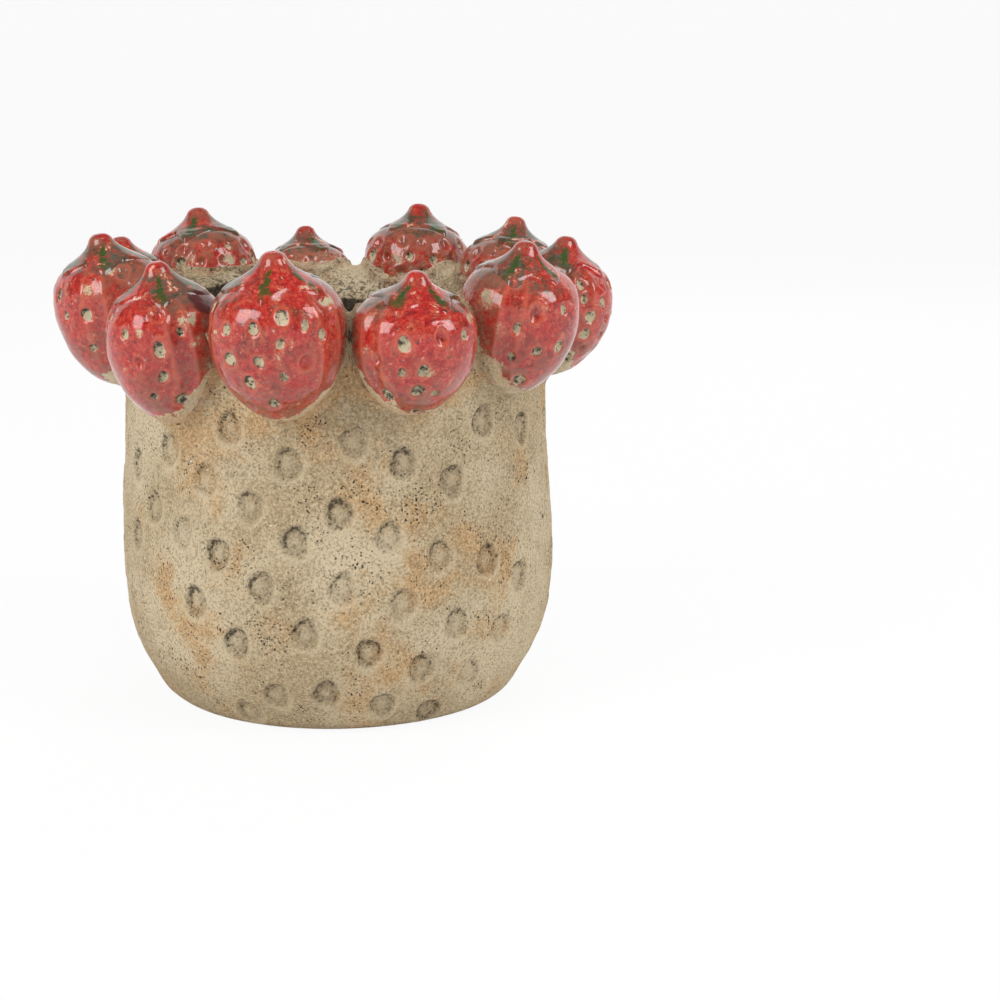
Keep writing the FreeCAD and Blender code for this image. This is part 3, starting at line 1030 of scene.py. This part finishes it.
# smears: a band by shares of the berry's length, broken into patches by noise
smear = {
    "edge": (190, 8, 0.75, 1.0),
    "bandSway": 0.28,
    "bandStart": (0.68, 0.80),
    "bandEnd": (0.96, 0.91),
    "inward": (0.95, -0.3, -0.03, 0.13),
    "patch": (38, 3, 0.55),
    "patchSway": 0.55,
    "patchRamp": (0.45, 0.58),
    "thinned": (260, 7, 0.8, 0.60, 0.42, 0.40, 1.0),
    "mossy": (85, 5, 0.7, 0.46, 0.62),
}


def smearGroup():
    # grey green smears: ragged patches in a band round the shoulder, broader on the inward side
    group, on = newGroup("leafSmear", {"Smear": "Float", "Tone": "Color"}, ("Share", "Facing"))
    given = on.add("NodeGroupInput")
    ragged = on.ragged(*smear["edge"])
    shaken = on.plus(given["Share"], on.times(ragged, smear["bandSway"]))
    band = on.times(on.ramp(shaken, *smear["bandStart"]), on.ramp(shaken, *smear["bandEnd"]))
    patches = on.plus(on.noise(*smear["patch"]), on.ramp(given["Facing"], *smear["inward"]))
    patches = on.plus(patches, on.times(ragged, smear["patchSway"]))
    mask = on.times(on.ramp(patches, *smear["patchRamp"]), band)
    mask = on.times(mask, on.layer(*smear["thinned"]))
    tone = on.mix(on.layer(*smear["mossy"]), glaze["smear"], glaze["moss"])
    on.add("NodeGroupOutput", {"Smear": mask, "Tone": tone})
    return group


def smearOver(on, smears, colour):
    over = on.use(smears, Share=on.field("share"), Facing=on.field("facing"))
    return on.mix(over["Smear"], colour, over["Tone"])


# strawberries: bareEdge and stainEdge go by millimetres from the clay that a berry sits on
berryFinish = {
    "edge": (120, 7, 0.7, 20.0),
    "edgeInward": (0.5, -0.9, 0.0, -3.5),
    "bareEdge": (6.0, 5.2),
    "tipSway": 0.024,
    "tipFacing": (-0.1, 1.0, -0.28, 0.0),
    "bareTip": (0.055, 0.045),
    "wear": (110, 9, 0.78),
    "wearPatch": 0.15,
    "bareWear": (0.635, 0.655),
    "bareDepth": 0.8,
    "barePale": 0.2,
    # darkening of bare clay turned towards the pot: painted shade
    "bareShade": (0.2, -0.8, 0, 0.15),
    "thinWear": (0.56, 0.64, 0, 0.9),
    "thinPits": 0.6,
    "browned": (130, 9, 0.82, 0.43, 0.56),
    "brownedLow": (0.62, 0.05, 0.1, 0.85),
    "brownedSide": (0.8, 0.1, 0, 0.75),
    "stain": (260, 6, 0.75, 0.38, 0.62),
    "stainFine": (600, 6, 0.8, 0.47, 0.58),
    "stainEdge": (15.0, 3.5, 0, 0.9),
    "pitSway": 0.03,
    "pitRamp": (0.2, 0.45),
    "grit": (430, 5, 0.8),
    "gritShade": 0.115,
    "gritLow": (0.55, 0.2, 0, 0.055),
    "gritRamp": (0.54, 0.61, 0, 0.95),
    "rough": (0.06, 0.8),
    "coat": (0.3, 0.0),
}


def makeGlaze(bareClay, redGlaze, smears):
    # red glaze, stained and worn to clay near the wall and in ragged patches, with clay seeds in the pits
    material, on, shader = newMaterial("strawberryGlaze")
    own = berryFinish
    bare = on.use(bareClay)
    red = on.use(redGlaze)
    share = on.field("share")
    facing = on.field("facing")
    coarse = on.ragged(*own["edge"])

    # bare next to the wall, in a point at the tip and in worn patches
    edge = on.minus(on.plus(on.field("seat"), coarse), on.ramp(facing, *own["edgeInward"]))
    tip = on.plus(share, on.times(coarse, own["tipSway"]))
    tip = on.plus(tip, on.ramp(facing, *own["tipFacing"]))
    wear = on.plus(on.noise(*own["wear"]), on.times(on.field("worn"), own["wearPatch"]))
    worn = on.most(on.ramp(edge, *own["bareEdge"]), on.ramp(tip, *own["bareTip"]))
    worn = on.most(worn, on.ramp(wear, *own["bareWear"]))

    # thin round the pits, browner low down and on the sides, stained towards the bare clay
    colour = smearOver(on, smears, red["Colour"])
    colour = on.mix(on.times(on.field("pitEdge"), own["thinPits"]), colour, glaze["thin"])
    browned = on.most(on.ramp(share, *own["brownedLow"]), on.ramp(facing, *own["brownedSide"]))
    colour = on.mix(on.times(browned, on.layer(*own["browned"])), colour, glaze["stain"])
    stain = on.mix(on.layer(*own["stainFine"]), glaze["stain"], bare["Colour"])
    colour = on.mix(on.times(on.ramp(edge, *own["stainEdge"]), on.layer(*own["stain"])), colour, stain)
    colour = on.mix(on.ramp(wear, *own["thinWear"]), colour, glaze["thin"])
    bared = on.mix(own["barePale"], bare["Colour"], glaze["pale"])
    # bare clay turned towards the pot is darkened: painted shade
    bared = on.mix(on.ramp(facing, *own["bareShade"]), bared, clay["grimeAndShade"])
    colour = maroonOver(on, on.mix(worn, colour, bared))

    # clay in the pits, with dark grit, low on the berry and in their upper part, where it is painted shade as
    # well
    pit = on.ramp(on.plus(on.field("pit"), on.times(coarse, own["pitSway"])), *own["pitRamp"])
    grit = on.plus(on.noise(*own["grit"]), on.times(on.field("pitShade"), own["gritShade"]))
    grit = on.plus(grit, on.ramp(share, *own["gritLow"]))
    seed = on.mix(on.ramp(grit, *own["gritRamp"]), glaze["pitClay"], glaze["pitDark"])
    height = on.minus(red["Height"], on.times(worn, own["bareDepth"]))
    finishGlaze(on, shader, on.mix(pit, colour, seed), height, on.most(worn, pit), own)
    return material


# leaf crowns: knobReach and strokes go by shares of the berry's radius
leafFinish = {
    "knob": (150, 6, 0.7, 0.42, 0.60, 0, 0.65),
    "knobReach": (0.34, 0.18),
    "wear": (130, 8, 0.72),
    "bareWear": (0.61, 0.64),
    "barePale": 0.85,
    "thinWear": (0.55, 0.62, 0, 0.7),
    "strokeEdge": (300, 7, 0.75, 3.4),
    "strokeRamp": (0.66, 0.80, 0, 0.9),
    "strokeOuter": (0.85, 0.55),
    "strokeInner": (0.20, 0.30),
    "rough": (0.07, 0.6),
    "coat": (0.3, 0.05),
}


def makeLeafGlaze(redGlaze, smears):
    # the same red run over stub and sepals, with grey green smears on the shoulders and green strokes
    material, on, shader = newMaterial("leafGlaze")
    own = leafFinish
    red = on.use(redGlaze)
    spread = on.field("spread")
    knob = on.times(on.layer(*own["knob"]), on.ramp(spread, *own["knobReach"]))
    colour = on.mix(knob, smearOver(on, smears, red["Colour"]), glaze["stain"])
    wear = on.noise(*own["wear"])
    worn = on.ramp(wear, *own["bareWear"])
    colour = on.mix(on.ramp(wear, *own["thinWear"]), colour, glaze["thin"])
    colour = on.mix(on.times(worn, own["barePale"]), colour, glaze["pale"])
    stroke = on.plus(on.field("stroke"), on.ragged(*own["strokeEdge"]))
    between = on.times(on.ramp(spread, *own["strokeOuter"]), on.ramp(spread, *own["strokeInner"]))
    green = on.times(on.ramp(stroke, *own["strokeRamp"]), between)
    colour = maroonOver(on, on.mix(green, colour, glaze["green"]))
    finishGlaze(on, shader, colour, red["Height"], worn, own)
    return material


# studio: a round white floor that runs up into a wall, soft lamps and a dim room
studio = {
    "floorReach": 3.0,
    "curve": 0.4,
    "curveRows": 24,
    "frontWall": 0.45,
    "backWall": 3.0,
    "columns": 96,
    "white": 0.90,
    "shown": 0.93,
    "room": 0.16,
    "roomTint": (0.95, 0.97, 1.0),
    "aim": (0, 0, 0.12),
    "lamps": [
        {"turn": -52, "rise": 28, "distance": 1.5, "wide": 0.75, "tall": 1.05, "power": 14, "glossy": True},
        {"turn": 60, "rise": 32, "distance": 1.5, "wide": 0.62, "tall": 0.90, "power": 11, "glossy": True},
        {"turn": 0, "rise": 75, "distance": 1.5, "wide": 1.2, "tall": 1.2, "power": 8, "glossy": False},
        {"turn": 160, "rise": 35, "distance": 1.6, "wide": 1.0, "tall": 1.0, "power": 9, "glossy": False},
    ],
}


def makeStage():
    # floor and wall are one turned sheet: level, then a quarter circle, then upright and higher behind
    reach, bend = studio["floorReach"], studio["curve"]
    turn = np.linspace(0, np.pi / 2, studio["curveRows"])
    angle = ringAngles(studio["columns"])[0]
    behind = smoothStep(0.2, 0.8, np.sin(angle))
    wall = studio["frontWall"] + (studio["backWall"] - studio["frontWall"]) * behind
    radius = np.append(reach - bend + bend * np.sin(turn), reach)[:, None]
    height = np.vstack([(bend - bend * np.cos(turn))[:, None] + 0 * angle, wall])
    points = np.stack([radius * np.cos(angle), radius * np.sin(angle), height], axis=-1)
    index = np.arange(height.size).reshape(height.shape)
    beside = np.roll(index, -1, axis=1)
    quads = np.stack([index[:-1], index[1:], beside[1:], beside[:-1]], axis=-1).reshape(-1, 4)
    mesh = bpy.data.meshes.new("studioFloor")
    mesh.from_pydata(points.reshape(-1, 3).tolist(), [], [index[0].tolist()] + quads.tolist())
    mesh.shade_smooth()
    floor = bpy.data.objects.new("studioFloor", mesh)
    bpy.context.scene.collection.objects.link(floor)
    material, on, shader = newMaterial("whiteSheet")
    on.fill(shader, {"Base Color": (studio["white"],) * 3, "Roughness": 0.9, "Specular IOR Level": 0.1})
    # shown white to rays from the camera, off gloss and through glass; lit and shaded for the others
    rays = on.add("ShaderNodeLightPath")
    seen = on.most(on.most(rays["Is Camera Ray"], rays["Is Glossy Ray"]), rays["Is Transmission Ray"])
    white = on.add("ShaderNodeEmission")[0]
    shares = {0: on.times(seen, studio["shown"]), 1: shader.outputs[0], 2: white}
    on.fill(on.tree.nodes["Material Output"], {"Surface": on.add("ShaderNodeMixShader", shares)[0]})
    mesh.materials.append(material)


def makeLamps():
    # each lamp stands at a turn from the front and a rise, and looks at the pot
    for number, lamp in enumerate(studio["lamps"]):
        data = bpy.data.lights.new("softLamp%d" % number, "AREA")
        data.shape = "RECTANGLE"
        data.size = lamp["wide"]
        data.size_y = lamp["tall"]
        data.energy = lamp["power"]
        item = bpy.data.objects.new("softLamp%d" % number, data)
        turn, rise = np.radians(lamp["turn"]), np.radians(lamp["rise"])
        away = Vector((np.sin(turn) * np.cos(rise), -np.cos(turn) * np.cos(rise), np.sin(rise)))
        item.location = Vector(studio["aim"]) + away * lamp["distance"]
        item.rotation_euler = away.to_track_quat("Z", "Y").to_euler()
        item.visible_glossy = lamp["glossy"]
        bpy.context.scene.collection.objects.link(item)
    world = bpy.data.worlds.new("studioRoom")
    world.use_nodes = True
    room = world.node_tree.nodes["Background"]
    room.inputs["Color"].default_value = (*studio["roomTint"], 1)
    room.inputs["Strength"].default_value = studio["room"]
    bpy.context.scene.world = world


bareClay = clayGroup()
redGlaze = glazeGroup()
leafSmear = smearGroup()
sandyClay = makeClay(bareClay)
strawberryGlaze = makeGlaze(bareClay, redGlaze, leafSmear)
leafGlaze = makeLeafGlaze(redGlaze, leafSmear)
print("materials made")

makePot(sandyClay)
makeRim(sandyClay)
print("pot wall and rim made")

for number in range(berry["count"]):
    makeBerry(number, strawberryGlaze)
    makeCrown(number, leafGlaze)
print("strawberries and crowns made")

makeStage()
makeLamps()
print("stage and lamps made")
